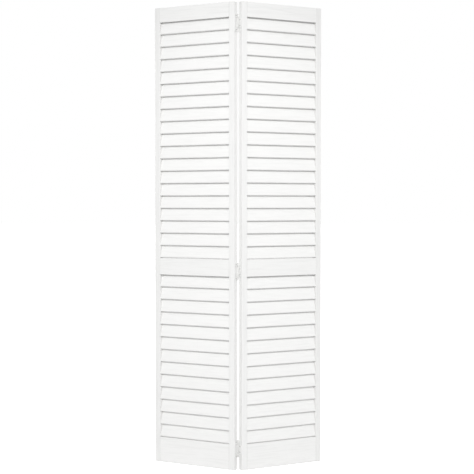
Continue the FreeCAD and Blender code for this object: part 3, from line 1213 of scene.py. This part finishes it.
@dataclass
class Studio:
    """The floor, the light and the camera that the door is seen by.

    The key hangs in front, above the door's middle, so that each louvre throws its dark line on the
    one below, and both ends of the door get a little less light. The rear lights stand low, where the
    louvres keep them off the front, and show the back of the door.
    """

    camera_place: Vector
    camera_pitch: float
    lens: float
    shift: Point
    sensor_width: float = 36.0
    floor_reach: float = 60.0
    floor_colour: str = "#F0F0F0"
    floor_glow: float = 0.78
    white: str = "#FFFFFF"
    world_strength: float = 0.62
    aim: tuple[float, float, float] = (0.0, 0.0, 1.05)
    lights: tuple[Softbox, ...] = (
        Spot("key", azimuth=0.0, elevation=math.radians(25), power=960.0),
        Softbox("right_rear", azimuth=math.radians(150), elevation=math.radians(6), power=130.0),
        Softbox("left_rear", azimuth=math.radians(-150), elevation=math.radians(6), power=130.0),
    )

    def floor(self) -> None:
        """Lay a white floor with the door's faint shadow. Its glow shows but doesn't light the door."""
        reach = self.floor_reach
        corners = [(-reach, -reach, 0), (reach, -reach, 0), (reach, reach, 0), (-reach, reach, 0)]
        mesh = bpy.data.meshes.new("floor")
        mesh.from_pydata(corners, [], [(0, 1, 2, 3)])
        floor = new_object("floor", mesh)
        material = bpy.data.materials.new("white_studio_floor")
        tree = empty_tree(material)
        matt = add_node(tree, "ShaderNodeBsdfDiffuse", {"Color": linear(self.floor_colour)})
        glow = add_node(tree, "ShaderNodeEmission", {"Strength": self.floor_glow})
        lifted = add_node(tree, "ShaderNodeAddShader", {
            0: matt.outputs["BSDF"],
            1: glow.outputs["Emission"],
        })
        mix = add_node(tree, "ShaderNodeMixShader", {
            0: shown(tree),
            1: matt.outputs["BSDF"],
            2: lifted.outputs["Shader"],
        })
        add_node(tree, "ShaderNodeOutputMaterial", {"Surface": mix.outputs["Shader"]})
        mesh.materials.append(material)

    def world(self) -> None:
        """Light the room evenly and show it white."""
        world = bpy.data.worlds.new("white_studio")
        bpy.context.scene.world = world
        tree = empty_tree(world)
        white = linear(self.white)
        room = add_node(tree, "ShaderNodeBackground", {"Color": white, "Strength": self.world_strength})
        backdrop = add_node(tree, "ShaderNodeBackground", {"Color": white, "Strength": 1.0})
        mix = add_node(tree, "ShaderNodeMixShader", {
            0: shown(tree),
            1: room.outputs["Background"],
            2: backdrop.outputs["Background"],
        })
        add_node(tree, "ShaderNodeOutputWorld", {"Surface": mix.outputs["Shader"]})

    def camera(self) -> None:
        """Set the camera where the photograph was taken from."""
        data = bpy.data.cameras.new("camera")
        data.lens = self.lens
        data.sensor_width = self.sensor_width
        data.shift_x, data.shift_y = self.shift
        camera = bpy.data.objects.new("camera", data)
        camera.location = self.camera_place
        camera.rotation_euler = (math.pi / 2 - self.camera_pitch, 0.0, 0.0)
        bpy.context.scene.collection.objects.link(camera)
        bpy.context.scene.camera = camera

    def build(self) -> None:
        """Build the whole studio."""
        self.floor()
        self.world()
        for light in self.lights:
            light.hang(Vector(self.aim))
        self.camera()
        bpy.context.scene.view_settings.view_transform = "Standard"


def main() -> None:
    """Build the door's looks round the frame, then its studio."""
    logging.basicConfig(level=logging.INFO, format="%(name)s: %(message)s")
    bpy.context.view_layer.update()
    leaves = read_leaves()
    left, right = leaves[Side.LEFT], leaves[Side.RIGHT]
    pieces = Boards(leaves).build()

    bank_tree = louvre_tree()
    for side, leaf in leaves.items():
        # The louvres' colour is a touch lighter than the rails' and stiles', as painted light on one and
        # the same paint.
        louvre_paint_with_painted_light = PaintedPine(
            f"satin_painted_pine_{side.label}_louvres", Grain.ALONG_LEAF,
            turn=side.value * leaf.fold, colour="#F7F7F6", colour_low="#F3F3F2",
        ).build()
        for section, seed in (("upper", 11), ("lower", 23)):
            bank = LouvreBank(leaf, section, bank_tree, louvre_paint_with_painted_light, seed=seed + side.value)
            pieces.append(bank.build())

    # Powder coat baked on steel: an even satin white with a faint orange peel.
    enamel = CoatedMetal(
        "white_powder_coat_on_steel", colour="#F4F4F3", colour_low="#EEEEED", metallic=0.0,
        roughness=0.34, peel_mm=1.6, peel_height_mm=0.02,
    ).build()
    # A thin, worn white coat on small steel screws: light grey dots with a soft gloss.
    coated = CoatedMetal(
        "white_coated_screw_steel", colour="#C0C0BE", colour_low="#A2A29F", metallic=0.0,
        roughness=0.38, peel_mm=0.8, peel_height_mm=0.01,
    ).build()
    # Bright drawn steel rod: a clean grey gloss with hardly any texture.
    bright = CoatedMetal(
        "bright_drawn_pin_steel", colour="#C4C4C2", colour_low="#B4B4B0", metallic=1.0,
        roughness=0.3, peel_mm=0.6, peel_height_mm=0.01,
    ).build()
    for place in HINGES:
        pieces.append(HingePlate(left, right, place, True, enamel).build())
        pieces.append(HingePlate(right, left, place, False, enamel).build())
    fittings = hardware_tree()
    for leaf in leaves.values():
        pieces.append(Screws(leaf, fittings, coated).build())
    pieces.append(Pins(left, fittings, bright).build())
    for piece in pieces:
        LOG.info("%s is in place, with %d faces", piece.name, len(piece.data.polygons))

    Studio(
        camera_place=Vector((0.0, -5.145, 1.145)), camera_pitch=math.radians(1.159), lens=89.57,
        shift=(-0.0022, -0.02),
    ).build()


if __name__ == "__main__":
    main()
